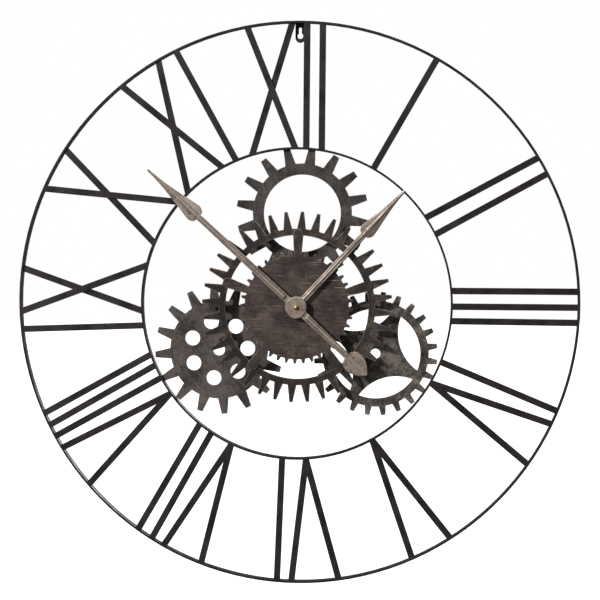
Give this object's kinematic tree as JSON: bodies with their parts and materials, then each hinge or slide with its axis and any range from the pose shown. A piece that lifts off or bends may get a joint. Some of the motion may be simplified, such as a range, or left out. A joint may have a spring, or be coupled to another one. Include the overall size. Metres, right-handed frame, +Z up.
{
  "type": "wall clock",
  "caption": "Large round skeleton wall clock with welded Roman numerals, layered decorative cog wheels, spade hands and a battery movement, hung from a keyhole tab.",
  "frame": {"origin": "centre of the keyhole in the hanger tab, on the wall plane, where the clock hangs", "axes": "+Z up, +Y into the wall along the keyhole, front of the clock towards -Y, +X to the right seen from the front"},
  "size_m": [0.7999, 0.0465, 0.8],
  "materials": {
    "frame_steel": "very dark brown-black satin paint over steel strip",
    "wheel_steel": "dark antique bronze, brushed and worn at the edges",
    "hand_metal": "antique pewter, speckled satin",
    "brass": "satin brass",
    "plated_steel": "zinc plated",
    "black_plastic": "moulded matte",
    "white_plastic": "moulded acetal",
    "board": "solder resist",
    "copper_wire": "enamelled copper wire",
    "gasket_rubber": "moulded rubber",
    "cell_sleeve": "plain printed sleeve"
  },
  "bodies": {
    "frame": {"outer_ring": "frame_steel", "inner_ring": "frame_steel", "numeral_1": "frame_steel", "numeral_2": "frame_steel", "numeral_3": "frame_steel", "numeral_4": "frame_steel", "numeral_5": "frame_steel", "numeral_6": "frame_steel", "numeral_7": "frame_steel", "numeral_8": "frame_steel", "numeral_9": "frame_steel", "numeral_10": "frame_steel", "numeral_11": "frame_steel", "numeral_12": "frame_steel", "hanger_plate": "frame_steel", "top_gear": "wheel_steel", "left_gear": "wheel_steel", "right_gear": "wheel_steel", "spiked_ring": "wheel_steel", "star_wheel": "wheel_steel", "wheel_posts": "wheel_steel", "gasket": "gasket_rubber", "washer": "brass", "hex_nut": "brass", "front_case": "black_plastic", "back_cover": "black_plastic", "train_bridge": "black_plastic", "circuit_board": "board", "circuit_chip": "black_plastic", "quartz_crystal": "plated_steel", "coil_bobbin": "black_plastic", "coil_winding": "copper_wire", "coil_core": "plated_steel", "stator_plate": "plated_steel", "contact_plus": "plated_steel", "contact_minus": "plated_steel"},
    "minute_group": {"minute_hand": "hand_metal", "minute_collet": "brass", "hub_disc": "hand_metal", "cap_nut": "brass", "minute_shaft": "brass", "friction_spring": "plated_steel"},
    "hour_group": {"hour_hand": "hand_metal", "hour_collet": "brass", "hour_wheel": "white_plastic"},
    "minute_wheel_body": {"minute_wheel": "white_plastic"},
    "knob_body": {"setting_knob": "black_plastic"},
    "centre_wheel_body": {"centre_wheel": "white_plastic"},
    "third_wheel_body": {"third_wheel": "white_plastic"},
    "fourth_wheel_body": {"fourth_wheel": "white_plastic"},
    "fifth_wheel_body": {"fifth_wheel": "white_plastic"},
    "rotor_body": {"rotor": "white_plastic"},
    "battery_body": {"battery_cell": "cell_sleeve"}
  },
  "joints": [
    {"name": "minute_hand_turn", "type": "hinge", "parent": "frame", "child": "minute_group", "pos_m": [-0.003, -0.04, -0.383], "axis": [0, 1, 0], "continuous": true},
    {"name": "hour_hand_turn", "type": "hinge", "parent": "frame", "child": "hour_group", "pos_m": [-0.003, -0.036, -0.383], "axis": [0, 1, 0], "continuous": true},
    {"name": "minute_wheel_turn", "type": "hinge", "parent": "frame", "child": "minute_wheel_body", "pos_m": [-0.00945, -0.0227, -0.37655], "axis": [0, 1, 0], "continuous": true},
    {"name": "setting_knob_turn", "type": "hinge", "parent": "frame", "child": "knob_body", "pos_m": [-0.01833, -0.01, -0.37142], "axis": [0, 1, 0], "continuous": true},
    {"name": "fourth_wheel_turn", "type": "hinge", "parent": "frame", "child": "fourth_wheel_body", "pos_m": [0.01285, -0.017, -0.37316], "axis": [0, 1, 0], "continuous": true},
    {"name": "centre_wheel_turn", "type": "hinge", "parent": "frame", "child": "centre_wheel_body", "pos_m": [-0.003, -0.0195, -0.383], "axis": [0, 1, 0], "continuous": true},
    {"name": "third_wheel_turn", "type": "hinge", "parent": "frame", "child": "third_wheel_body", "pos_m": [0.00464, -0.018, -0.37536], "axis": [0, 1, 0], "continuous": true},
    {"name": "fifth_wheel_turn", "type": "hinge", "parent": "frame", "child": "fifth_wheel_body", "pos_m": [0.01222, -0.019, -0.36599], "axis": [0, 1, 0], "continuous": true},
    {"name": "rotor_turn", "type": "hinge", "parent": "frame", "child": "rotor_body", "pos_m": [0.00615, -0.015, -0.36492], "axis": [0, 1, 0], "continuous": true},
    {"name": "battery_lift_out", "type": "slide", "parent": "frame", "child": "battery_body", "axis": [0, 1, 0], "range_m": [0, 0.02]}
  ],
  "couplings": [
    {"joint": "hour_hand_turn", "follows": "minute_hand_turn", "ratio": 0.083333},
    {"joint": "minute_wheel_turn", "follows": "minute_hand_turn", "ratio": -0.33333},
    {"joint": "setting_knob_turn", "follows": "minute_hand_turn", "ratio": 0.66667},
    {"joint": "third_wheel_turn", "follows": "fourth_wheel_turn", "ratio": -0.13333},
    {"joint": "centre_wheel_turn", "follows": "fourth_wheel_turn", "ratio": 0.016667},
    {"joint": "fifth_wheel_turn", "follows": "fourth_wheel_turn", "ratio": -5},
    {"joint": "rotor_turn", "follows": "fourth_wheel_turn", "ratio": 30}
  ]
}
